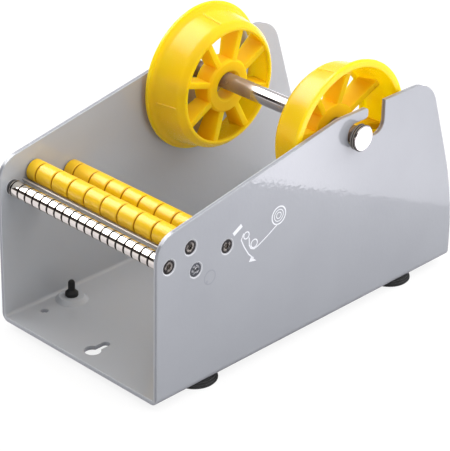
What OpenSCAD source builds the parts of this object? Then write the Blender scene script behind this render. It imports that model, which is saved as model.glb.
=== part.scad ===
// Bench label dispenser: a folded sheet steel housing, a lift-out axle with two core wheels,
// two grooved guide rollers, a peel bar and a grooved front roller.
// Millimetres. X runs along the axle, Y from the open front to the back, Z up from the bench.
// The origin lies on the bench, below the middle of the housing.

/* [Housing] */
// Clear width between the two side plates
inner_width = 120; // [100:1:160]
// Length of the housing from the front edge to the back edge
depth = 238; // [220:1:280]
// Thickness of the folded sheet
sheet = 2.5; // [1.5:0.1:3]
// Inner radius of the two folds
bend_radius = 2; // [1:0.5:4]
// Height of the plates' top edge above the floor's underside
plate_height = 122.5; // [118:0.5:140]
// Height at which the sloping edge would meet the front edge
front_height = 97.4; // [94:0.2:104]
// Distance from the front edge to the point where the slope meets the top edge
slope_length = 134; // [110:1:140]
// Radius of the plates' front top corner
front_round = 14; // [6:1:18]
// Radius where the slope runs into the top edge
slope_round = 30; // [10:1:60]
// Radius of the plates' back top corner
back_round = 20; // [8:1:24]
// Height above the floor's underside at which the back edge begins to lean forward
lean_height = 41; // [30:1:60]
// Lean of the back edge from the vertical, in degrees
lean_angle = 17.7; // [8:0.1:22]
// Radius where the back edge begins to lean
lean_round = 190; // [60:5:230]

/* [Axle seat] */
// Distance of the seated axle from the front edge
axle_distance = 148.3; // [140:0.1:160]
// Depth of the seated axle below the plates' top edge
axle_drop = 13.5; // [11.5:0.1:18]
// Height of the level run of the axle slot
slot_height = 12.7; // [11:0.1:14]
// Width of the slot's open mouth in the top edge
mouth_width = 14.2; // [12:0.1:18]
// Length of the tongue over the slot, from the axle to the tongue's tip
tongue_reach = 9.5; // [7:0.1:14]
// Radius of the slot's lower back corner
slot_round = 7; // [2:0.5:9]
// Radius of the tongue's two tip corners
tongue_round = 2.2; // [0.5:0.1:2.8]

/* [Axle] */
// Diameter of the chromed rod
rod_d = 10; // [8:0.1:10.8]
// Diameter of the end caps
cap_d = 15.2; // [13.5:0.1:24]
// Length of an end cap
cap_length = 3.6; // [3.4:0.1:12]
// Gap between a plate and the cap beside it
cap_gap = 2.4; // [0.6:0.1:4]
// Diameter of the spigots at the rod's ends, which the caps sit on
spigot_d = 7; // [4:0.1:7.8]
// Length of a spigot
spigot_length = 2.5; // [1.5:0.1:2.6]
// Width of the bevel round a cap's outer face
cap_bevel = 0.7; // [0.2:0.1:1.2]

/* [Core wheels] */
// Diameter of a wheel's flange
flange_d = 89; // [87:0.5:110]
// Thickness of the flange's rim
flange_rim = 2.6; // [1.6:0.1:4]
// Width of the flat ring on the flange's outer side
flange_ring = 4.2; // [2.5:0.1:4.6]
// Diameter of the drum beside the flange
drum_root_d = 82; // [79:0.5:83]
// Diameter of the drum at its free end
drum_nose_d = 75; // [73:0.5:76]
// Radius of the hollow sweep between flange and drum
flange_sweep = 3.2; // [1.5:0.1:3.4]
// Radius of the drum's free edge
nose_round = 4.4; // [3:0.1:4.5]
// Width of a wheel along the axle
wheel_width = 23.5; // [20:0.5:32]
// Wall thickness of the drum
drum_wall = 2.4; // [1.6:0.1:3]
// Width of the ring at the drum's free end
window_ring = 4.3; // [4.2:0.1:9]
// Outer diameter of the hub
hub_d = 32; // [26:0.5:40]
// Length of the hub, which begins at the drum's free end
hub_length = 11.5; // [8:0.5:14]
// Width of the bevels on the hub's free end
hub_bevel = 1.2; // [0.4:0.1:1.8]
// Bore of the hub, much wider than the rod that the wheel hangs on
hub_bore = 16.5; // [13:0.1:20]
// Number of spokes
spoke_count = 8; // [5:1:12]
// Thickness of a spoke
spoke_thickness = 3.6; // [1.6:0.1:5]
// Depth of the spokes behind the flange's outer side
spoke_setback = 8; // [5:0.5:12]
// Step from the drum's free end back to the spokes
spoke_step = 1; // [0.5:0.1:3]
// Number of thin grip ribs along the drum
grip_count = 4; // [2:1:8]
// Height of a grip rib above the drum
grip_height = 0.5; // [0.2:0.1:1]
// Width of a grip rib
grip_width = 1.2; // [0.6:0.1:2]
// Gap between the left plate and the left wheel's flange
left_gap = 2.8; // [0.6:0.1:8]
// Gap between the right plate and the right wheel's flange
right_gap = 1.2; // [0.6:0.1:8]
// Rest angle of the left wheel's first spoke, in degrees
left_phase = 28; // [0:1:45]
// Rest angle of the right wheel's first spoke, in degrees
right_phase = 34; // [0:1:45]

/* [Front roller] */
// Distance of the front roller from the front edge
front_roller_distance = 8.5; // [7.5:0.1:10]
// Height of the front roller above the floor's underside
front_roller_height = 80.9; // [78:0.1:83]
// Diameter of the front roller
front_roller_d = 9.2; // [8:0.1:10]
// Diameter of the fixed shaft inside it
front_shaft_d = 5.6; // [4.6:0.1:6]
// Distance between its ring grooves
front_groove_pitch = 6; // [4:0.1:10]
// Width of its ring grooves
front_groove_width = 0.7; // [0.3:0.05:1]
// Depth of its ring grooves
front_groove_depth = 0.9; // [0.3:0.05:1.1]
// Thickness of the washer at each end
washer_thickness = 1.2; // [0.6:0.1:2]
// Outer diameter of those washers
washer_d = 8.8; // [8:0.1:12]

/* [Guide rollers] */
// Diameter of both guide rollers
guide_d = 12.5; // [11:0.1:13]
// Diameter of the fixed shafts inside them
guide_shaft_d = 7; // [5:0.1:8]
// Distance between their ring grooves
guide_groove_pitch = 13; // [8:0.1:20]
// Width of their ring grooves
guide_groove_width = 0.8; // [0.4:0.05:1.6]
// Depth of their ring grooves
guide_groove_depth = 1.4; // [0.3:0.05:1.6]
// Distance of the front guide roller from the front edge
front_guide_distance = 23.7; // [23:0.1:26]
// Height of the front guide roller above the floor's underside
front_guide_height = 86.6; // [86:0.1:89]
// Distance of the rear guide roller from the front edge
rear_guide_distance = 50.3; // [46:0.1:60]
// Height of the rear guide roller above the floor's underside
rear_guide_height = 77.2; // [60:0.1:84]

/* [Peel bar] */
// Distance of the peel bar's screws from the front edge
peel_distance = 27.6; // [27:0.1:30]
// Height of the peel bar's screws above the floor's underside
peel_height = 72; // [70:0.1:72.6]
// Thickness of the bar round its screws
peel_thickness = 6.4; // [5.6:0.1:6.8]
// Distance from the screws to the middle of the rounded lip
peel_reach = 16; // [13:0.1:16.4]
// Thickness of the lip
lip_thickness = 1.2; // [0.8:0.1:1.6]
// Rise of the bar from the screws to the lip, in degrees
peel_angle = 43.5; // [41:0.1:46]

/* [Screws] */
// Thread diameter of the countersunk screws
thread_d = 4; // [3:0.1:4.2]
// Head diameter of the countersunk screws
head_d = 8; // [6:0.1:8.4]
// Length of the screws
screw_length = 12; // [8:0.5:16]
// Depth of their heads below the plate's face
head_recess = 0.4; // [0.1:0.05:0.4]
// Size of their hexagon sockets, across the flats
socket_size = 3; // [2:0.1:3.4]
// Depth of their sockets
socket_depth = 1.6; // [0.8:0.1:2]

/* [Feet] */
// Height of the rubber feet below the floor
foot_height = 4.2; // [3.6:0.1:14]
// Diameter of a foot at the bench
foot_d = 26; // [20:0.5:27]
// Diameter of a foot's neck, which passes through the floor
foot_neck_d = 5; // [3:0.1:6]
// Diameter of the barb above the floor
foot_barb_d = 7.6; // [6.5:0.1:12]
// Height of the barb
foot_barb_height = 3.6; // [2:0.1:6]
// Diameter of the pull tail above the barb
foot_tail_d = 4; // [2:0.1:4.5]
// Length of the pull tail above the barb
foot_tail_length = 6.2; // [4.5:0.1:12]
// Distance of the feet from the plates' inner faces
foot_inset = 10.5; // [9.5:0.5:24]
// Distance of the front feet from the front edge
front_foot_distance = 40; // [36:0.5:60]
// Distance of the rear feet from the back edge
rear_foot_inset = 39; // [36:0.5:60]
// Height of the round dimple pressed up over each foot
dimple_height = 2.5; // [1:0.1:4]
// Diameter of a dimple at the floor
dimple_d = 19; // [17:0.5:24]
// Diameter of a dimple's flat top
dimple_top_d = 14.5; // [13:0.5:16]

/* [Bench fixing] */
// Diameter of the keyhole's round end
keyhole_d = 9.6; // [8:0.1:14]
// Width of the keyhole's slot
keyhole_slot = 4.8; // [3:0.1:6]
// Distance of the keyhole's round end from the front edge
keyhole_distance = 11.3; // [9:0.1:16]
// Distance from the keyhole's round end to the end of its slot
keyhole_length = 12; // [8:0.1:20]
// Diameter of the two screw holes beside the keyhole
bench_hole_d = 4.5; // [3:0.1:7]
// Distance of those holes from the plates' inner faces
bench_hole_inset = 10; // [8:0.5:30]
// Distance of those holes from the front edge
bench_hole_distance = 20; // [14:0.5:24]

/* [Clearances] */
// Radial running clearance of a roller on its shaft
running_fit = 0.05; // [0.02:0.01:0.1]
// Radial clearance round a screw, a neck or a spigot that doesn't turn
fixed_fit = 0.1; // [0.04:0.02:0.2]
// Gap under the rod in its seat, and over the rod in a wheel's hub
seat_gap = 0.2; // [0.1:0.05:0.3]
// Play of a roller along its length, at each end
end_play = 0.6; // [0.3:0.1:1.2]

/* [Hidden] */

$fn = 96;
outer_width = inner_width + 2 * sheet;
axle_height = plate_height - axle_drop;
foot_side = inner_width / 2 - foot_inset;
bench_hole_side = inner_width / 2 - bench_hole_inset;
cut = 1;                                    // how far a cut runs past the face that it opens
countersink = (head_d - thread_d) / 2;      // depth of a 90 degree head
drop = hub_bore / 2 - rod_d / 2 - seat_gap; // how far a wheel's middle hangs below the rod's
slot_floor = axle_height - rod_d / 2 - seat_gap;
tongue_tip = axle_distance + tongue_reach;
mouth_back = tongue_tip + mouth_width;
front_roller_length = inner_width - 2 * washer_thickness - 2 * end_play;
guide_length = inner_width - 2 * end_play;

paint = [0.80, 0.81, 0.84];
yellow = [1.00, 0.78, 0.02];
steel = [0.78, 0.78, 0.80];
chrome = [0.88, 0.88, 0.90];
black = [0.09, 0.09, 0.10];

// Y of a point this far behind the front edge
function y_at(distance) = distance - depth / 2;
// Z of a point this far above the floor's underside
function z_at(height) = foot_height + height;

function unit(v) = v / norm(v);

// Turns a shape drawn in XY, and its thickness along Z, so that it lies in YZ with X as its axis
module along_x() rotate([90, 0, 90]) children();

// A shape made for the right side, and its mirror image on the left
module both_sides() {
    children();
    mirror([1, 0, 0]) children();
}

function turned(v, angle) = [v[0] * cos(angle) - v[1] * sin(angle), v[0] * sin(angle) + v[1] * cos(angle)];

// Points of the arc of this radius that rounds the corner b, between its neighbours a and c
function arc_at(a, b, c, radius) =
    let (
        to_a = unit(a - b),
        to_c = unit(c - b),
        half = acos(to_a * to_c) / 2,
        middle = b + unit(to_a + to_c) * radius / sin(half),
        start = b + to_a * radius / tan(half) - middle,
        turn = (180 - 2 * half) * sign(cross(b - a, c - b)),
        steps = max(5, ceil(abs(turn) / 6))
    )
    [for (i = [0 : steps]) middle + turned(start, turn * i / steps)];

// Outline through corners [x, y, radius], with an arc in each corner that has a radius
function rounded(corners) =
    let (
        count = len(corners),
        at = [for (c = corners) [c[0], c[1]]]
    )
    [for (i = [0 : count - 1])
        each corners[i][2] > 0
            ? arc_at(at[(i + count - 1) % count], at[i], at[(i + 1) % count], corners[i][2])
            : [at[i]]];

// Outline of the side plates, with Y from the front edge and Z from the floor's underside
module plate_outline() {
    lean_run = (plate_height - lean_height) * tan(lean_angle);
    polygon(rounded([
        [0, 0, 0],
        [0, front_height, front_round],
        [slope_length, plate_height, slope_round],
        [depth - lean_run, plate_height, back_round],
        [depth, lean_height, lean_round],
        [depth, 0, 0]
    ]));
}

// Hooked slot of the axle: a mouth in the top edge and a level run forward to the seat.
// It begins a little above the top edge, so that it cuts the edge at a clear angle.
module slot_outline() {
    slot_top = slot_floor + slot_height;
    mouth_top = plate_height + 0.1;
    seat_front = axle_distance - slot_height / 2;
    seat_round = slot_height / 2 - 0.4;
    polygon(rounded([
        [mouth_back, mouth_top, 0],
        [tongue_tip - 2 * tongue_round, mouth_top, 0],
        [tongue_tip, mouth_top, tongue_round],
        [tongue_tip, slot_top, tongue_round],
        [seat_front, slot_top, seat_round],
        [seat_front, slot_floor, seat_round],
        [mouth_back, slot_floor, slot_round]
    ]));
}

// Half-open box with rounded lower corners, from the outer or the inner faces of the folded sheet
module channel_outline(width, radius, bottom) {
    top = plate_height + cut;
    translate([-width / 2, bottom + radius]) square([width, top - bottom - radius]);
    translate([-width / 2 + radius, bottom]) square([width - 2 * radius, radius]);
    for (side = [-1, 1])
        translate([side * (width / 2 - radius), bottom + radius]) circle(radius);
}

// The sheet as it is folded, before holes are cut
module folded_sheet() {
    intersection() {
        translate([0, 0, foot_height]) rotate([90, 0, 0]) linear_extrude(depth, center = true)
            difference() {
                channel_outline(outer_width, bend_radius + sheet, 0);
                channel_outline(inner_width, bend_radius, sheet);
            }
        translate([0, y_at(0), foot_height]) along_x()
            linear_extrude(outer_width + 2 * cut, center = true) plate_outline();
    }
}

// Middle of each foot, seen from above
foot_places = [for (y = [front_foot_distance, depth - rear_foot_inset], side = [-1, 1])
    [side * foot_side, y_at(y)]];

// Middle of each screw on the right plate: distance from the front edge and height
screw_places = [
    [front_roller_distance, front_roller_height],
    [front_guide_distance, front_guide_height],
    [rear_guide_distance, rear_guide_height],
    [peel_distance, peel_height]
];

// Countersunk through hole in the right plate, a little deeper than the screw's head
module screw_hole(place) {
    hole_d = thread_d + 2 * fixed_fit;
    sink = countersink + head_recess;
    translate([inner_width / 2 - cut, y_at(place[0]), z_at(place[1])]) along_x() {
        cylinder(h = sheet + 2 * cut, d = hole_d);
        translate([0, 0, cut + sheet - sink])
            cylinder(h = sink + cut, d1 = hole_d, d2 = hole_d + 2 * (sink + cut));
    }
}

// Countersunk screw with a hexagon socket, through the right plate
module screw(place) {
    translate([outer_width / 2 - head_recess, y_at(place[0]), z_at(place[1])]) along_x()
        difference() {
            union() {
                translate([0, 0, -countersink]) cylinder(h = countersink, d1 = thread_d, d2 = head_d);
                translate([0, 0, -screw_length]) cylinder(h = screw_length, d = thread_d);
            }
            translate([0, 0, -socket_depth])
                cylinder(h = socket_depth + cut, d = socket_size / cos(30), $fn = 6);
        }
}

// Threaded hole in the end of a shaft or bar, at the right plate
module tapped_hole(place) {
    hole_depth = screw_length - sheet + cut;
    translate([inner_width / 2 - hole_depth, y_at(place[0]), z_at(place[1])]) along_x()
        cylinder(h = hole_depth + cut, d = thread_d + fixed_fit);
}

// Keyhole in the floor: a round end to drop over a screw head, and a slot behind it
module keyhole() {
    translate([0, y_at(keyhole_distance), 0]) {
        cylinder(h = z_at(sheet) + cut, d = keyhole_d);
        translate([-keyhole_slot / 2, 0, 0])
            cube([keyhole_slot, keyhole_length - keyhole_slot / 2, z_at(sheet) + cut]);
        translate([0, keyhole_length - keyhole_slot / 2, 0])
            cylinder(h = z_at(sheet) + cut, d = keyhole_slot);
    }
}

module housing() {
    color(paint) difference() {
        union() {
            folded_sheet();
            for (place = foot_places)
                translate([place[0], place[1], z_at(sheet)])
                    cylinder(h = dimple_height, d1 = dimple_d, d2 = dimple_top_d);
        }
        for (place = foot_places)
            translate([place[0], place[1], foot_height]) {
                translate([0, 0, -cut]) cylinder(h = cut, d = dimple_d - sheet);
                cylinder(h = dimple_height, d1 = dimple_d - sheet, d2 = dimple_top_d - sheet);
                cylinder(h = dimple_height + sheet + cut, d = foot_neck_d + 2 * fixed_fit);
            }
        both_sides() {
            for (place = screw_places) screw_hole(place);
            translate([inner_width / 2 - cut, y_at(0), foot_height]) along_x()
                linear_extrude(sheet + 2 * cut) slot_outline();
        }
        keyhole();
        for (side = [-1, 1])
            translate([side * bench_hole_side, y_at(bench_hole_distance), 0])
                cylinder(h = z_at(sheet) + cut, d = bench_hole_d);
    }
}

// Round bar between the plates with a threaded hole in each end
module cross_shaft(place, diameter) {
    difference() {
        translate([0, y_at(place[0]), z_at(place[1])]) along_x()
            cylinder(h = inner_width, d = diameter, center = true);
        both_sides() tapped_hole(place);
    }
}

// Roller with evenly spaced ring grooves, symmetric about its middle.
// The first groove lies in the middle, or half a pitch beside it, as offset says.
module grooved_roller(place, diameter, length, bore, pitch, groove_width, groove_depth, offset) {
    radius = diameter / 2;
    half = groove_width / 2;
    edge = groove_depth / 3;
    last = floor((length / 2 - groove_width - offset) / pitch);
    first = offset > 0 ? -last - 1 : -last;
    grooves = [for (s = [for (i = [first : last]) offset + i * pitch], p = [
        [radius, s - half - edge], [radius - edge, s - half], [radius - groove_depth, s - half / 2],
        [radius - groove_depth, s + half / 2], [radius - edge, s + half], [radius, s + half + edge]
    ]) p];
    translate([0, y_at(place[0]), z_at(place[1])]) along_x() rotate_extrude()
        polygon(concat(
            [[bore / 2, -length / 2], [radius - edge, -length / 2], [radius, -length / 2 + edge]],
            grooves,
            [[radius, length / 2 - edge], [radius - edge, length / 2], [bore / 2, length / 2]]
        ));
}

module front_roller() {
    color(chrome) grooved_roller(screw_places[0], front_roller_d, front_roller_length,
        front_shaft_d + 2 * running_fit, front_groove_pitch, front_groove_width, front_groove_depth,
        front_groove_pitch / 2);
}

module front_roller_shaft() {
    color(steel) cross_shaft(screw_places[0], front_shaft_d);
}

// Washer between the front roller and the right plate
module front_roller_washer() {
    place = screw_places[0];
    color(steel) translate([inner_width / 2 - washer_thickness, y_at(place[0]), z_at(place[1])]) along_x()
        difference() {
            cylinder(h = washer_thickness, d = washer_d);
            translate([0, 0, -cut])
                cylinder(h = washer_thickness + 2 * cut, d = front_shaft_d + 2 * fixed_fit);
        }
}

module guide_roller(place) {
    color(yellow) grooved_roller(place, guide_d, guide_length, guide_shaft_d + 2 * running_fit,
        guide_groove_pitch, guide_groove_width, guide_groove_depth, 0);
}

module guide_shaft(place) {
    color(steel) cross_shaft(place, guide_shaft_d);
}

// Tapered bar, thick round its screws and drawn out to a thin rounded lip under the front guide roller
module peel_bar() {
    big = peel_thickness / 2;
    small = lip_thickness / 2;
    lean = asin((big - small) / peel_reach);
    turn = 90 + lean;
    steps = 12;
    back = [for (i = [0 : steps]) let (a = turn * (2 * i / steps - 1)) big * [cos(a), sin(a)]];
    lip = [for (i = [0 : steps]) let (a = turn + (360 - 2 * turn) * i / steps)
        [-peel_reach, 0] + small * [cos(a), sin(a)]];
    place = screw_places[3];
    color(paint) difference() {
        translate([0, y_at(place[0]), z_at(place[1])]) along_x() rotate(-peel_angle)
            linear_extrude(inner_width, center = true) polygon(concat(back, lip));
        both_sides() tapped_hole(place);
    }
}

module screw_pair(place, colour) {
    color(colour) both_sides() screw(place);
}

axle_place = [0, y_at(axle_distance), z_at(axle_height)];
rod_length = outer_width + 2 * cap_gap;

module axle_rod() {
    color(chrome) translate(axle_place) along_x() {
        cylinder(h = rod_length, d = rod_d, center = true);
        cylinder(h = rod_length + 2 * spigot_length, d = spigot_d, center = true);
    }
}

// Cap on the right end of the rod, with a blind hole for the spigot
module axle_cap() {
    color(chrome) translate(axle_place + [rod_length / 2, 0, 0]) along_x() difference() {
        union() {
            cylinder(h = cap_length - cap_bevel, d = cap_d);
            translate([0, 0, cap_length - cap_bevel])
                cylinder(h = cap_bevel, d1 = cap_d, d2 = cap_d - 2 * cap_bevel);
        }
        translate([0, 0, -cut])
            cylinder(h = spigot_length + fixed_fit + cut, d = spigot_d + fixed_fit);
    }
}

// Ends of the hub, and radius of the opening in the drum's free end
hub_end = wheel_width - spoke_step / 2;
hub_start = hub_end - hub_length;
window_r = drum_nose_d / 2 - window_ring;

// Outer radius of the drum at this distance from the flange's outer side
function drum_r(s) =
    (drum_root_d + (drum_nose_d - drum_root_d) * (s - flange_rim) / (wheel_width - flange_rim)) / 2;

// Section of a wheel's skin: flange, hollow sweep, tapered drum and rounded free end.
// X is the radius and Y the distance from the flange's outer side.
module wheel_skin() {
    flange_r = flange_d / 2;
    rim_round = flange_rim / 3;
    dish = flange_rim + flange_sweep + drum_wall;
    inside = wheel_width - drum_wall;
    nose_start = wheel_width - 0.8 * nose_round;
    nose_end = drum_nose_d / 2 - 0.6 * nose_round;
    polygon(rounded([
        [flange_r - flange_ring, 0, rim_round],
        [flange_r, 0, rim_round],
        [flange_r, flange_rim, rim_round],
        [drum_r(flange_rim), flange_rim, flange_sweep],
        [drum_r(nose_start), nose_start, nose_round],
        [nose_end, wheel_width, nose_round / 2],
        [window_r, wheel_width, drum_wall / 6],
        [window_r, inside, 0],
        [drum_r(inside) - drum_wall, inside, nose_round / 3],
        [drum_r(dish) - drum_wall, dish, flange_sweep]
    ]));
}

// Flat outline of a spoke, from inside the hub's wall to inside the drum's wall, deeper at the drum
module spoke_outline() {
    inner = (hub_bore + hub_d) / 4;
    top = wheel_width - spoke_step;
    shoulder = top - nose_round;
    polygon([
        [inner, hub_start + 1],
        [drum_r(spoke_setback) - drum_wall / 2, spoke_setback],
        [drum_r(shoulder) - drum_wall / 2, shoulder],
        [window_r + drum_wall / 2, top],
        [inner, top]
    ]);
}

// Flat outline of a grip rib, along the drum's taper
module grip_outline() {
    start = flange_rim + flange_sweep;
    end = wheel_width - nose_round;
    polygon([
        [drum_r(start) - drum_wall / 2, start], [drum_r(start) + grip_height, start],
        [drum_r(end) + grip_height, end], [drum_r(end) - drum_wall / 2, end]
    ]);
}

// Copies of a flat radial outline, thickened and set round the axis
module around(count, thickness, phase) {
    for (i = [0 : count - 1])
        rotate(phase + i * 360 / count) rotate([90, 0, 0])
            linear_extrude(thickness, center = true) children();
}

// Core wheel on the Z axis, with the flange's outer side at Z = 0
module core_wheel(phase) {
    bevel_start = hub_end - hub_bevel;
    color(yellow) difference() {
        union() {
            rotate_extrude() wheel_skin();
            translate([0, 0, hub_start]) cylinder(h = bevel_start - hub_start, d = hub_d);
            translate([0, 0, bevel_start]) cylinder(h = hub_bevel, d1 = hub_d, d2 = hub_d - 2 * hub_bevel);
            around(spoke_count, spoke_thickness, phase) spoke_outline();
            around(grip_count, grip_width, phase - 180 / spoke_count) grip_outline();
        }
        translate([0, 0, -cut]) cylinder(h = wheel_width + 2 * cut, d = hub_bore);
        translate([0, 0, bevel_start])
            cylinder(h = hub_bevel + cut, d1 = hub_bore, d2 = hub_bore + 2 * (hub_bevel + cut));
    }
}

// Hangs a wheel on the rod, this far from the left plate
module hang_left(gap, phase) {
    translate([gap - inner_width / 2, axle_place[1], axle_place[2] - drop]) along_x() core_wheel(phase);
}

// Rubber foot: a ribbed pad under the floor, a boss in the dimple, a neck, a barb and a round-ended pull tail
module foot(place) {
    pad_r = foot_d / 2;
    rib = 0.5;
    rib_count = 3;
    rib_pitch = foot_height / rib_count;
    ribs = [for (i = [0 : rib_count - 1], p = [
        [pad_r - i * rib - rib, i * rib_pitch], [pad_r - i * rib, (i + 0.4) * rib_pitch],
        [pad_r - i * rib, (i + 0.7) * rib_pitch], [pad_r - (i + 1) * rib - rib, (i + 1) * rib_pitch]
    ]) if (i == 0 || p[1] > i * rib_pitch) p];
    boss_r = (dimple_top_d - sheet) / 2 - rib;
    boss_top = z_at(dimple_height);
    neck_r = foot_neck_d / 2;
    neck_top = boss_top + sheet + fixed_fit;
    barb_r = foot_barb_d / 2;
    barb_top = neck_top + foot_barb_height;
    tail_r = foot_tail_d / 2;
    tail_top = barb_top + foot_tail_length;
    tail_end = [for (a = [0 : 18 : 72]) [tail_r * cos(a), tail_top - tail_r + tail_r * sin(a)]];
    tip = tail_end[len(tail_end) - 1];
    color(black) translate([place[0], place[1], 0]) rotate_extrude() polygon(concat([[0, 0]], ribs, [
        [boss_r, foot_height], [boss_r, boss_top], [neck_r, boss_top], [neck_r, neck_top],
        [barb_r, neck_top], [barb_r, neck_top + foot_barb_height / 2], [tail_r, barb_top]
    ], tail_end, [[0, tip[1]]]));
}

housing();
front_roller();
front_roller_shaft();
mirror([1, 0, 0]) front_roller_washer();  // front_roller_washer_left
front_roller_washer();  // front_roller_washer_right
guide_roller(screw_places[1]);  // front_guide_roller
guide_shaft(screw_places[1]);  // front_guide_shaft
guide_roller(screw_places[2]);  // rear_guide_roller
guide_shaft(screw_places[2]);  // rear_guide_shaft
peel_bar();
screw_pair(screw_places[0], black);  // front_roller_screws
screw_pair(screw_places[1], black);  // front_guide_screws
screw_pair(screw_places[2], black);  // rear_guide_screws
screw_pair(screw_places[3], steel);  // peel_bar_screws
axle_rod();
mirror([1, 0, 0]) axle_cap();  // axle_cap_left
axle_cap();  // axle_cap_right
hang_left(left_gap, left_phase);  // core_wheel_left
mirror([1, 0, 0]) hang_left(right_gap, right_phase);  // core_wheel_right
foot(foot_places[0]);  // foot_front_left
foot(foot_places[1]);  // foot_front_right
foot(foot_places[2]);  // foot_rear_left
foot(foot_places[3]);  // foot_rear_right
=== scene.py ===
import math
from collections import namedtuple

import bmesh
import bpy
from mathutils import Matrix, Vector


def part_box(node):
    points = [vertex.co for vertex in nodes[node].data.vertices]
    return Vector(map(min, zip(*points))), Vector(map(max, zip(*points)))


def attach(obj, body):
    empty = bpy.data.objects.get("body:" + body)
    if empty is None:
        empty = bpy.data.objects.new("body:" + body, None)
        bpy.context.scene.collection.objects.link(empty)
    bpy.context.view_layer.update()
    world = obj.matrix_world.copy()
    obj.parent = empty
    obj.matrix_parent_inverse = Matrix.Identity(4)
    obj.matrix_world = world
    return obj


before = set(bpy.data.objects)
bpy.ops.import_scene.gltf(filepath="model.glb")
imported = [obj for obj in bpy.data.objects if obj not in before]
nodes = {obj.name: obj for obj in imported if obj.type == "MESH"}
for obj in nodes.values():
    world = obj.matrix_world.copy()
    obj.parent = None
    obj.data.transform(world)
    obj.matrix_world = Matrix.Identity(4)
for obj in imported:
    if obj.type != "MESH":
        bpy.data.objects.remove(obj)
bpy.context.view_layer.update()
scene = bpy.context.scene
scene.view_settings.view_transform = "Standard"

# Measures shared by the materials and the print, in metres

MM = 0.001
PLATE_X = 62.5 * MM
SHEET = 2.5 * MM
FRONT_Y = -119.0 * MM
FLOOR_Z = 4.2 * MM
FRONT_PITCH = 6.0 * MM
FINE_PITCH = 1.4 * MM


def on_plate(behind, above, proud=0.0):
    """Point on the right plate's outer face, given in millimetres behind the sheet's front edge and above its
    underside, and in metres in front of the face."""
    return Vector((PLATE_X + proud, FRONT_Y + behind / 1000, FLOOR_Z + above / 1000))


# Camera, at the photograph's viewing angle

RIGHT = Vector((0.70918, 0.70481, 0.01750))
DOWN = Vector((0.34451, -0.32478, -0.88081))
FORWARD = Vector((-0.61512, 0.63068, -0.47314))
POSITION = Vector((0.72149, -0.74640, 0.60145))
SENSOR_MM = 36.0
FOCAL_PIXELS = 2076.4
IMAGE_PIXELS = 451.0

cam_data = bpy.data.cameras.new("camera")
cam_data.sensor_width = SENSOR_MM
cam_data.lens = FOCAL_PIXELS * SENSOR_MM / IMAGE_PIXELS
cam_data.clip_end = 20.0
cam = bpy.data.objects.new("camera", cam_data)
scene.collection.objects.link(cam)
axes = Matrix((RIGHT, -DOWN, -FORWARD)).transposed()
cam.matrix_world = Matrix.Translation(POSITION) @ axes.to_4x4()
scene.camera = cam

# Node helpers

WHITE = (1.0, 1.0, 1.0)
MIX_FIRST_COLOUR, MIX_SECOND_COLOUR, MIX_COLOUR_OUT = 6, 7, 2


class Tree:
    """A material or world node tree that is filled from code."""

    def __init__(self, owner):
        owner.use_nodes = True
        self.node_tree = owner.node_tree
        self.node_tree.nodes.clear()

    def add(self, kind, inputs=None, **settings):
        """New node with these settings. An input, by name or place, gets a link or a constant."""
        node = self.node_tree.nodes.new(kind)
        for name, value in settings.items():
            setattr(node, name, value)
        for name, value in (inputs or {}).items():
            self.put(node.inputs[name], value)
        return node

    def put(self, socket, value):
        if isinstance(value, bpy.types.NodeSocket):
            self.node_tree.links.new(value, socket)
        else:
            socket.default_value = value

    def math(self, operation, a, b=0.0, clamp=False):
        return self.add("ShaderNodeMath", {0: a, 1: b}, operation=operation, use_clamp=clamp).outputs[0]

    def plus(self, a, b):
        return self.math("ADD", a, b)

    def times(self, a, b, clamp=False):
        return self.math("MULTIPLY", a, b, clamp)

    def minus(self, a, b, clamp=False):
        return self.math("SUBTRACT", a, b, clamp)

    def size(self, a):
        return self.math("ABSOLUTE", a)

    def wave(self, value, length):
        """Sine wave of this length along a value."""
        return self.math("SINE", self.times(value, 2 * math.pi / length))

    def vectors(self, operation, a, b):
        """Dot product or distance of two vectors."""
        return self.add("ShaderNodeVectorMath", {0: a, 1: b}, operation=operation).outputs["Value"]

    def axis(self, letter, vector):
        return self.add("ShaderNodeSeparateXYZ", {"Vector": vector}).outputs[letter]

    def fade(self, value, low, high, start=0.0, end=1.0, kind="LINEAR"):
        """Goes from start to end while a value goes from low to high, and stays level beyond."""
        node = self.add("ShaderNodeMapRange", {
            "Value": value, "From Min": low, "From Max": high, "To Min": start, "To Max": end,
        }, interpolation_type=kind)
        return node.outputs["Result"]

    def noise(self, vector, scale, detail=2.0, rough=0.5):
        node = self.add("ShaderNodeTexNoise", {
            "Vector": vector, "Scale": scale, "Detail": detail, "Roughness": rough})
        return node.outputs["Fac"]

    def spread(self, factor, start, end):
        """Turns a factor from 0 to 1 into a value from start to end."""
        return self.fade(factor, 0.0, 1.0, start, end)

    def ramp(self, factor, stops):
        node = self.add("ShaderNodeValToRGB", {"Fac": factor})
        ends = node.color_ramp.elements
        while len(ends) < len(stops):
            ends.new(0.5)
        for element, (place, colour) in zip(ends, stops):
            element.position = place
            element.color = (*colour, 1.0)
        return node.outputs["Color"]

    def blend(self, factor, first, second):
        """Mixes a linked colour with a constant one."""
        node = self.add("ShaderNodeMix", {
            0: factor, MIX_FIRST_COLOUR: first, MIX_SECOND_COLOUR: (*second, 1.0)}, data_type="RGBA")
        return node.outputs[MIX_COLOUR_OUT]

    def bump(self, height, distance, normal):
        node = self.add("ShaderNodeBump", {"Height": height, "Distance": distance, "Normal": normal})
        return node.outputs["Normal"]

    def glow(self, kind, colour, strength):
        return self.add(kind, {"Color": (*colour, 1.0), "Strength": strength}).outputs[0]

    def either(self, factor, first, second):
        """Mix of two shaders."""
        return self.add("ShaderNodeMixShader", {0: factor, 1: first, 2: second}).outputs[0]

    def output(self, kind, shader):
        self.add(kind, {"Surface": shader})


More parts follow.
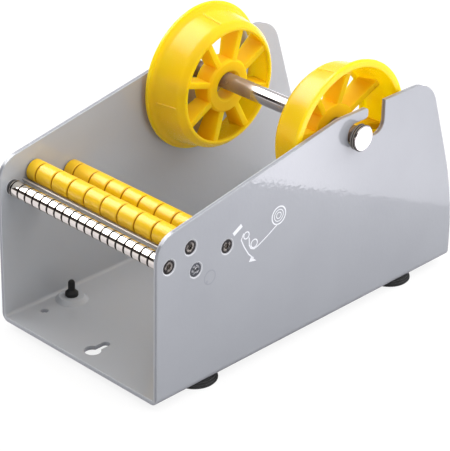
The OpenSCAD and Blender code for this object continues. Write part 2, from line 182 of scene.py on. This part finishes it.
def linear(r, g, b):
    """Scene-linear colour of an 8 bit screen colour."""
    return tuple(c / 255 / 12.92 if c <= 10 else ((c / 255 + 0.055) / 1.055) ** 2.4 for c in (r, g, b))


def mixed(a, b, share):
    return tuple(x + (y - x) * share for x, y in zip(a, b))


def greys(*stops):
    """Stops of a ramp of plain greys, from pairs of place and level."""
    return [(place, (level, level, level)) for place, level in stops]


# One recipe for all materials of the object

Mark = namedtuple("Mark", "mask colour height dull", defaults=(0.0, None))

DRIFT_SCALE = 28.0
DRIFT_ENDS = (0.3, 0.7)
DRIFT_LIGHTENS = 0.4
# Patches of lighter edges: partly wear, partly painted highlight
EDGE_PATCH_SCALE = 160.0
EDGE_MASK_GAIN = 5.0
EDGE_PATCH_LEAST = 0.2
WEAR_AND_HIGHLIGHT_LIGHTENS = 0.6
GLOSS_SPREAD = (0.75, 1.3)
LEAST_ROUGHNESS = 0.01
EDGE_SAMPLES = 6
COAT_ROUGHNESS = 0.02
SCATTER_RADIUS = (1.0, 1.0, 0.3)
SCATTER_DEPTH = 12.0 * MM


def surface(name, colour, shift, rough, metal=0.0, coat=0.0, peel=(125.0, 8e-6), grain=(1500.0, 2e-6),
            edge=0.4 * MM, stretch=(1.0, 1.0, 1.0), specular=0.5, edge_wear_and_highlight=0.0, scatter=0.0, film=0.0, marks=()):
    """Principled material with a slight drift of colour and roughness, softened edges and, where asked for,
    lighter edges that are partly wear and partly a painted highlight. peel and grain are a long and a fine
    surface wave, each with its noise scale and height.
    stretch draws the fine wave out along an axis, as turning or drawing does. scatter lets light into
    plastics. Each of the marks gives a mask, and the colour, height and roughness that it brings. film is the
    share of bare metal that the marks cover."""
    mat = bpy.data.materials.new(name)
    tree = Tree(mat)
    where = tree.add("ShaderNodeTexCoord").outputs["Object"]
    soft = tree.add("ShaderNodeBevel", {"Radius": edge}, samples=EDGE_SAMPLES).outputs["Normal"]
    marked = [make(tree, where) for make in marks]

    darker = tuple(c * (1.0 - shift) for c in colour)
    lighter = mixed(colour, WHITE, shift * DRIFT_LIGHTENS)
    tint = tree.ramp(tree.noise(where, DRIFT_SCALE, 3.0), [*zip(DRIFT_ENDS, (darker, lighter))])
    # Lighter edges, partly wear and partly a painted highlight where edges would catch the light
    if edge_wear_and_highlight:
        flat = tree.add("ShaderNodeNewGeometry").outputs["Normal"]
        bend = tree.minus(1.0, tree.vectors("DOT_PRODUCT", soft, flat), clamp=True)
        rim = tree.times(bend, EDGE_MASK_GAIN, clamp=True)
        patchy = tree.times(rim, tree.spread(tree.noise(where, EDGE_PATCH_SCALE, 3.0), EDGE_PATCH_LEAST, 1.0))
        tint = tree.blend(tree.times(patchy, edge_wear_and_highlight), tint, mixed(colour, WHITE, WEAR_AND_HIGHLIGHT_LIGHTENS))
    for mark in marked:
        tint = tree.blend(mark.mask, tint, mark.colour)

    drawn = tree.add("ShaderNodeMapping", {"Vector": where, "Scale": stretch}).outputs["Vector"]
    fine = tree.noise(drawn, grain[0], 3.0, 0.6)
    smooth, coarse = (rough * share for share in GLOSS_SPREAD)
    gloss = tree.spread(fine, max(smooth, LEAST_ROUGHNESS), coarse)
    bare = metal
    normal = tree.bump(tree.noise(where, peel[0], 1.5), peel[1], soft)
    normal = tree.bump(fine, grain[1], normal)
    for mark in marked:
        if mark.dull:
            gloss = tree.plus(gloss, tree.times(mark.mask, mark.dull - rough))
        if film:
            bare = tree.minus(bare, tree.times(mark.mask, film * metal), clamp=True)
        if mark.height:
            normal = tree.bump(mark.mask, mark.height, normal)
    shader = tree.add("ShaderNodeBsdfPrincipled", {
        "Base Color": tint, "Roughness": gloss, "Metallic": bare, "Normal": normal, "Coat Weight": coat,
        "Coat Roughness": COAT_ROUGHNESS, "Coat Normal": normal, "Specular IOR Level": specular,
        "Subsurface Weight": scatter, "Subsurface Radius": SCATTER_RADIUS, "Subsurface Scale": SCATTER_DEPTH,
    })
    tree.output("ShaderNodeOutputMaterial", shader.outputs["BSDF"])
    return mat


# Marks on the materials, each made for the tree and the coordinates of one material

BAND_BLUR_MM = 0.25
COUNTERSINK_RADIUS = 4.45 * MM


def plugged_hole(tree, where):
    """Shallow ring with a pip on the right plate, where a hole was filled before painting."""
    ring_and_pip = ((on_plate(37.9, 63.8), 4.0 * MM), (on_plate(35.8, 61.7), 0.5 * MM))
    lines = []
    for middle, radius in ring_and_pip:
        off = tree.size(tree.minus(tree.vectors("DISTANCE", where, middle), radius))
        lines.append(tree.fade(off, 0.0, 0.7 * MM, start=0.55, end=0.0, kind="SMOOTHSTEP"))
    return Mark(tree.plus(*lines), linear(140, 142, 150), height=0.1 * MM)


def inner_side(tree, where):
    """Painted light: lighter, less blue paint on the faces inside the folded sheet, standing in for the light
    that reaches the inside.
    """
    aside = tree.size(tree.axis("X", where))
    between = tree.fade(aside, PLATE_X - 2.0 * MM, PLATE_X - 1.0 * MM, start=1.0, end=0.0)
    above = tree.fade(tree.axis("Z", where), FLOOR_Z + 1.0 * MM, FLOOR_Z + 2.0 * MM)
    return Mark(tree.times(between, above), linear(173, 176, 181))


def sheet_edge(tree, where):
    """Painted shade: darker middle of the plates' cut edges, so that their corners show as highlight lines.
    """
    aside = tree.size(tree.axis("X", where))
    off = tree.size(tree.minus(aside, PLATE_X - SHEET / 2))
    middle = tree.fade(off, 0.4 * MM, 0.8 * MM, start=0.75, end=0.0)
    above = tree.fade(tree.axis("Z", where), FLOOR_Z + 2.0 * MM, FLOOR_Z + 4.0 * MM)
    return Mark(tree.times(middle, above), linear(128, 129, 136))


def off_axis(tree, where, node):
    """Distance from the axis of a turned node, which runs along X."""
    low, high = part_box(node)
    middle = (low + high) / 2
    across = tree.minus(tree.axis("Y", where), middle.y)
    above = tree.minus(tree.axis("Z", where), middle.z)
    return tree.math("SQRT", tree.plus(tree.times(across, across), tree.times(above, above)))


def banded(node, radius, colour, inside=True, dull=None):
    """Another finish inside or outside this radius in millimetres about a turned node's axis."""
    def make(tree, where):
        away = off_axis(tree, where, node)
        reach = tree.fade(away, (radius - BAND_BLUR_MM) * MM, radius * MM, float(inside), float(not inside))
        return Mark(reach, colour, dull=dull)
    return make


def countersink_highlight(node):
    """Painted highlight: a light ring round the countersinks of this node's screws, where their painted edges
    would catch the light.
    """
    def make(tree, where):
        off = tree.size(tree.minus(off_axis(tree, where, node), COUNTERSINK_RADIUS))
        return Mark(tree.fade(off, 0.2 * MM, 0.5 * MM, start=0.5, end=0.0), linear(228, 229, 234))
    return make


def socket_sheen(node, colour):
    """Painted reflection: bright patches round the socket of a screw head, standing for its socket walls
    catching the light.
    """
    def make(tree, where):
        inner = tree.fade(off_axis(tree, where, node), 2.4 * MM, 3.0 * MM, start=1.0, end=0.0)
        sheen_patches = tree.fade(tree.noise(where, 620.0, 1.0), 0.42, 0.58)
        return Mark(tree.times(inner, sheen_patches), colour, dull=0.22)
    return make


def ring_edges(tree, where):
    """Painted shade: darker edges of the front roller's rings, beside the grooves."""
    half = FRONT_PITCH / 2
    off = tree.math("PINGPONG", tree.plus(tree.axis("X", where), half), half)
    return Mark(tree.fade(off, 0.5 * MM, 1.0 * MM, start=0.75, end=0.0), linear(104, 93, 84))


def rim_rings_and_reflection(tree, where):
    """Turning rings round the rim of an axle cap, as bumps over a painted dark reflection of the shade beside
    the cap.
    """
    wave = tree.wave(tree.axis("X", where), FINE_PITCH)
    rim = tree.fade(off_axis(tree, where, "axle_cap_right"), 7.2 * MM, 7.5 * MM)
    dark = tree.times(rim, tree.spread(tree.plus(wave, 0.5), 0.1, 0.9))
    return Mark(dark, linear(24, 21, 20), height=0.05 * MM)


def ridged(tree, where):
    """Fine moulded ridges round the pad of a foot, with a painted highlight on their crests."""
    height = tree.axis("Z", where)
    wave = tree.wave(height, FINE_PITCH)
    crest = tree.spread(tree.plus(tree.times(wave, 0.5), 0.5), 0.0, 0.7)
    pad = tree.fade(height, FLOOR_Z, FLOOR_Z + 0.5 * MM, start=1.0, end=0.0)
    return Mark(tree.times(crest, pad), linear(88, 88, 91), height=0.15 * MM)


def dim_near_hubs(tree, where):
    """Painted reflection and shade: darker, browner and duller rod towards the wheels' hubs, where it mirrors
    their shaded insides.
    """
    aside = tree.size(tree.axis("X", where))
    film = tree.fade(aside, 6.0 * MM, 18.0 * MM)
    streaks = tree.spread(tree.noise(where, 240.0, 3.0), 0.55, 1.0)
    return Mark(tree.times(film, streaks), linear(128, 108, 98), dull=0.3)


# Materials of the CAD nodes

SCREWS = ("front_roller_screws", "front_guide_screws", "rear_guide_screws", "peel_bar_screws")
ALONG_X = (0.05, 1.0, 1.0)
CHROME = linear(214, 209, 208)
WHEEL_YELLOW = linear(255, 194, 0)
GUIDE_YELLOW = linear(253, 197, 0)
GROOVE_SHADE = linear(190, 132, 0)
BLACK, BLACK_SOCKET_SHEEN = linear(46, 42, 42), linear(186, 178, 170)
ZINC, ZINC_SOCKET_SHEEN = linear(104, 107, 114), linear(250, 250, 252)


def chrome(name, **finish):
    return surface(name, CHROME, shift=0.02, rough=0.08, metal=1.0, peel=(40.0, 2e-6), grain=(1200.0, 8e-7),
                   edge=0.3 * MM, **finish)


def turned_yellow(name, node):
    """Plastic of a guide roller, with painted shade in its grooves."""
    return surface(name, GUIDE_YELLOW, shift=0.05, rough=0.30, peel=(80.0, 8e-6), grain=(1600.0, 1.2e-5),
                   stretch=(1.0, 0.08, 0.08), specular=0.45, scatter=0.3,
                   marks=[banded(node, 6.0, GROOVE_SHADE)])


def screw(name, node, head, socket):
    """Plated screw head, with a painted reflection round its socket."""
    return surface(name, head, shift=0.10, rough=0.30, metal=0.85, grain=(3000.0, 4e-6), edge_wear_and_highlight=0.8,
                   marks=[socket_sheen(node, socket)])


# Housing paint, with painted light inside the fold, painted shade on the cut edges and painted highlights
# round the countersinks
paint = surface("grey_powder_coat", linear(157, 159, 166), shift=0.03, rough=0.35, coat=1.0,
                peel=(400.0, 4.5e-5), grain=(1400.0, 5e-7), edge=0.7 * MM, specular=0.25, edge_wear_and_highlight=0.35,
                marks=[plugged_hole, inner_side, sheet_edge, *(countersink_highlight(node) for node in SCREWS)])
bar_metal = surface("drawn_bar", linear(176, 170, 164), shift=0.05, rough=0.40, metal=0.15,
                    grain=(900.0, 3e-6), stretch=ALONG_X, edge=0.3 * MM)
# Front roller steel with painted shade: darker ring edges and dark groove bottoms inside 4.5 mm
roller_steel = surface("polished_steel", linear(238, 231, 221), shift=0.04, rough=0.05, metal=1.0,
                       peel=(60.0, 1e-6), grain=(2500.0, 5e-7), stretch=(1.0, 0.05, 0.05), edge=0.15 * MM,
                       marks=[ring_edges, banded("front_roller", 4.5, linear(22, 20, 19))])
shaft_steel = surface("bright_steel", linear(190, 190, 193), shift=0.05, rough=0.25, metal=1.0,
                      stretch=ALONG_X, edge=0.2 * MM)
washer_metal = surface("dark_washer", linear(118, 116, 116), shift=0.08, rough=0.30, metal=1.0,
                       grain=(2500.0, 4e-6), edge=0.2 * MM)
# Rod with a painted reflection of shade towards the hubs
chrome_rod = chrome("chromed_rod", stretch=(0.1, 1.0, 1.0), film=0.7, marks=[dim_near_hubs])
# Caps with a painted reflection on their rims: duller brownish chrome outside 7.5 mm and dark rings
chrome_cap = chrome("chromed_cap", marks=[
    banded("axle_cap_right", 7.5, linear(196, 186, 176), inside=False), rim_rings_and_reflection])
yellow_wheel = surface("yellow_moulding", WHEEL_YELLOW, shift=0.03, rough=0.25, peel=(90.0, 1.2e-5),
                       grain=(1500.0, 3e-6), edge=0.6 * MM, specular=0.3, edge_wear_and_highlight=0.10, scatter=0.8,
                       marks=[banded("core_wheel_left", 34.0, WHEEL_YELLOW, dull=0.6)])
yellow_front = turned_yellow("yellow_turned_front", "front_guide_roller")
yellow_rear = turned_yellow("yellow_turned_rear", "rear_guide_roller")
rubber = surface("black_rubber", linear(9, 9, 10), shift=0.12, rough=0.40, peel=(200.0, 2e-5),
                 grain=(2200.0, 1e-5), edge=0.5 * MM, specular=0.22, marks=[ridged])
white_ink = surface("white_ink", linear(226, 227, 233), shift=0.02, rough=0.30, peel=(120.0, 6e-6),
                    grain=(3000.0, 4e-6), edge=0.01 * MM)

looks = {
    "housing": paint,
    "peel_bar": bar_metal,
    "front_roller": roller_steel,
    "front_roller_shaft": shaft_steel,
    "front_guide_shaft": shaft_steel,
    "rear_guide_shaft": shaft_steel,
    "front_roller_washer_left": washer_metal,
    "front_roller_washer_right": washer_metal,
    "front_guide_roller": yellow_front,
    "rear_guide_roller": yellow_rear,
    "front_roller_screws": screw("blackened_front_roller", "front_roller_screws", BLACK, BLACK_SOCKET_SHEEN),
    "front_guide_screws": screw("blackened_front_guide", "front_guide_screws", BLACK, BLACK_SOCKET_SHEEN),
    "rear_guide_screws": screw("blackened_rear_guide", "rear_guide_screws", BLACK, BLACK_SOCKET_SHEEN),
    "peel_bar_screws": screw("zinc_plate", "peel_bar_screws", ZINC, ZINC_SOCKET_SHEEN),
    "axle_rod": chrome_rod,
    "axle_cap_left": chrome_cap,
    "axle_cap_right": chrome_cap,
    "core_wheel_left": yellow_wheel,
    "core_wheel_right": yellow_wheel,
    "foot_front_left": rubber,
    "foot_front_right": rubber,
    "foot_rear_left": rubber,
    "foot_rear_right": rubber,
}
for name, mat in looks.items():
    data = nodes[name].data
    data.materials.clear()
    data.materials.append(mat)

# Printed line diagram on the right plate: a roll, its web over two rollers, a label and a pulling arrow

INK_PROUD = 0.04 * MM
ROLL_MIDDLE = (89.0, 81.5)
ROLL_RINGS = ((5.2, 0.8, 40), (3.4, 0.5, 40), (1.8, 0.5, 28))
ROLLERS = (((70.5, 71.5), 2.4), ((64.5, 78.5), 2.0))
ROLLER_STEPS = 28
LINE = 0.7
WEB = [(88.0, 76.3), (80.0, 72.0), (73.5, 69.0), (70.5, 68.2), (68.0, 69.4), (66.8, 71.8), (66.6, 76.4)]
PULL = [(62.4, 80.4), (60.6, 77.2), (62.8, 72.4), (66.4, 66.6), (70.4, 62.6)]
ARROW_HEAD = [(68.4, 64.2), (72.6, 60.4), (66.8, 61.6)]
LABEL = [(54.0, 83.6), (60.2, 87.0), (61.4, 84.8), (55.2, 81.4)]


def stroke(bm, points, width, closed=False):
    """Flat ribbon along points of the right plate."""
    count = len(points)
    rows = []
    for i, point in enumerate(points):
        before = points[i - 1] if closed or i > 0 else point
        after = points[(i + 1) % count] if closed or i < count - 1 else point
        along = Vector((after[0] - before[0], after[1] - before[1])).normalized()
        side = Vector((-along.y, along.x)) * width / 2
        rows.append([bm.verts.new(on_plate(point[0] + way * side.x, point[1] + way * side.y, INK_PROUD))
                     for way in (-1, 1)])
    for i in range(count if closed else count - 1):
        here, there = rows[i], rows[(i + 1) % count]
        bm.faces.new((here[0], there[0], there[1], here[1]))


def ring(middle, radius, steps):
    angles = [2 * math.pi * i / steps for i in range(steps)]
    return [(middle[0] + radius * math.cos(angle), middle[1] + radius * math.sin(angle)) for angle in angles]


def patch(bm, points):
    """Filled flat shape on the right plate."""
    bm.faces.new([bm.verts.new(on_plate(behind, above, INK_PROUD)) for behind, above in points])


bm = bmesh.new()
for radius, width, steps in ROLL_RINGS:
    stroke(bm, ring(ROLL_MIDDLE, radius, steps), width, closed=True)
for middle, radius in ROLLERS:
    stroke(bm, ring(middle, radius, ROLLER_STEPS), LINE, closed=True)
stroke(bm, WEB, LINE)
stroke(bm, PULL, LINE)
patch(bm, ARROW_HEAD)
patch(bm, LABEL)
diagram_mesh = bpy.data.meshes.new("plate_diagram")
bm.to_mesh(diagram_mesh)
bm.free()
diagram_mesh.materials.append(white_ink)
diagram = bpy.data.objects.new("plate_diagram", diagram_mesh)
scene.collection.objects.link(diagram)
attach(diagram, "base")

# Studio: pale floor, white surroundings and soft lamps

FLOOR_HALF = 4.0
FLOOR_GREY = (0.80, 0.80, 0.80)
FLOOR_WHITE = 1.05
FLOOR_WHITENED = 0.80
MIRRORED_TINT = (0.98, 0.96, 1.03)
ACROSS_LIT_EDGE = (0.608, 1.0, 0.0)
ALONG_LIT_EDGE = (0.757, -0.653, 0.0)
SOFTBOX_WAY = (-0.62, -0.12, 0.77)
DARK_BAND = (0.05, 0.04, 0.04)
BACK_LEVEL = (1.2, 1.2, 1.2)

# Fades, as their low and high end and the level at each, from 0 to 1 where no level is given

LIT_EDGE = (0.2414, 0.2424)
LIT_FIELD_DIMS = (0.28, 0.42, 1.0, 0.7)
BEHIND_RISES = (0.0, 0.2, 0.0, 0.5)
SKY_RISES = (0.0, 0.7, 0.6, 1.35)
SKY_BRIGHTENS_BACK = (-1.0, 0.6, 0.42, 1.25)
MIRRORED_BACK_DIMS = (0.10, 0.45, 1.0, 0.6)
SOFTBOX_EDGE = (0.86, 0.92, 0.0, 7.0)
DARK_BAND_ENDS = (-0.35, -0.15)

# Ramps, as places and levels, where the place RAMP_MIDDLE stands for a coordinate of 0

RAMP_MIDDLE = 0.5
LIT_FIELD_LEVELS = greys((0.47, 1.0), (0.52, 1.6), (0.565, 3.75))
BESIDE_LEVELS = greys((0.35, 0.95), (0.55, 0.5), (0.5625, 0.0), (0.59, 0.05), (0.66, 0.38), (0.80, 0.5))
BAND_LEVELS = [*greys((0.50, 0.95), (0.545, 0.95)), (0.555, DARK_BAND), (0.75, DARK_BAND),
               *greys((0.765, 0.92), (0.88, 1.0), (1.0, 1.4))]


def light_path(tree):
    """Rays that see the surroundings as they are, and rays that mirror them."""
    path = tree.add("ShaderNodeLightPath")
    seen = tree.math("ADD", path.outputs["Is Camera Ray"], path.outputs["Is Transmission Ray"], clamp=True)
    return seen, path.outputs["Is Glossy Ray"]


def floor_look():
    """Pale floor that keeps shadows. Gloss mirrors it as a studio floor that is lit beyond an edge."""
    mat = bpy.data.materials.new("pale_floor")
    tree = Tree(mat)
    seen, glossy = light_path(tree)
    place = tree.add("ShaderNodeNewGeometry").outputs["Position"]
    across = tree.vectors("DOT_PRODUCT", place, ACROSS_LIT_EDGE)
    along = tree.vectors("DOT_PRODUCT", place, ALONG_LIT_EDGE)
    lit_level = tree.ramp(tree.plus(along, RAMP_MIDDLE), LIT_FIELD_LEVELS)
    lit_field = tree.times(tree.fade(across, *LIT_EDGE), lit_level)
    lit_field = tree.times(lit_field, tree.fade(across, *LIT_FIELD_DIMS))
    # Painted shadow in the mirrored floor: darker beside the right plate's foot
    beside = tree.ramp(tree.plus(tree.axis("X", place), RAMP_MIDDLE), BESIDE_LEVELS)
    behind = tree.fade(tree.axis("Y", place), *BEHIND_RISES)
    mirrored = tree.plus(tree.plus(lit_field, beside), behind)
    matt = tree.add("ShaderNodeBsdfDiffuse", {"Color": (*FLOOR_GREY, 1.0)}).outputs[0]
    white = tree.glow("ShaderNodeEmission", WHITE, FLOOR_WHITE)
    shine = tree.glow("ShaderNodeEmission", MIRRORED_TINT, mirrored)
    pale = tree.either(tree.times(seen, FLOOR_WHITENED), matt, white)
    tree.output("ShaderNodeOutputMaterial", tree.either(glossy, pale, shine))
    return mat


def fill_world(world):
    """White to the eye, softly graded as a light, and with a softbox and a dark front band in mirrors."""
    tree = Tree(world)
    seen, glossy = light_path(tree)
    way = tree.add("ShaderNodeTexCoord").outputs["Generated"]
    back = tree.axis("Y", way)
    up = tree.axis("Z", way)
    level = tree.times(tree.fade(up, *SKY_RISES), tree.fade(back, *SKY_BRIGHTENS_BACK))
    ambient = tree.glow("ShaderNodeBackground", WHITE, level)

    height = tree.plus(tree.times(up, 0.5), RAMP_MIDDLE)
    bands = tree.blend(tree.fade(back, *DARK_BAND_ENDS), tree.ramp(height, BAND_LEVELS), BACK_LEVEL)
    softbox = tree.fade(tree.vectors("DOT_PRODUCT", way, SOFTBOX_WAY), *SOFTBOX_EDGE)
    strength = tree.plus(tree.fade(back, *MIRRORED_BACK_DIMS), softbox)
    mirrored = tree.add("ShaderNodeBackground", {"Color": bands, "Strength": strength}).outputs[0]
    backdrop = tree.glow("ShaderNodeBackground", WHITE, 1.0)
    unseen = tree.either(glossy, ambient, mirrored)
    tree.output("ShaderNodeOutputWorld", tree.either(seen, unseen, backdrop))


floor_mesh = bpy.data.meshes.new("floor")
corners = [(-1, -1), (1, -1), (1, 1), (-1, 1)]
floor_mesh.from_pydata([(x * FLOOR_HALF, y * FLOOR_HALF, 0.0) for x, y in corners], [], [(0, 1, 2, 3)])
floor_mesh.materials.append(floor_look())
floor = bpy.data.objects.new("floor", floor_mesh)
scene.collection.objects.link(floor)

world = bpy.data.worlds.new("studio")
scene.world = world
fill_world(world)

LAMP_AIM = Vector((0.0, 0.0, 0.07))


def lamp(name, place, side, power):
    """Soft square lamp aimed at the object. Glossy surfaces show the surroundings instead of it."""
    data = bpy.data.lights.new(name, "AREA")
    data.shape = "SQUARE"
    data.size = side
    data.energy = power
    obj = bpy.data.objects.new(name, data)
    obj.visible_glossy = False
    scene.collection.objects.link(obj)
    aim = (LAMP_AIM - Vector(place)).to_track_quat("-Z", "Y")
    obj.matrix_world = Matrix.Translation(place) @ aim.to_matrix().to_4x4()


lamp("key", (-0.87, -0.22, 1.13), side=0.9, power=5.0)
lamp("top", (0.45, 0.35, 1.5), side=1.2, power=3.4)
lamp("side", (1.5, 0.1, 0.9), side=0.8, power=5.5)
lamp("back", (0.4, 1.5, 0.9), side=0.8, power=9.0)
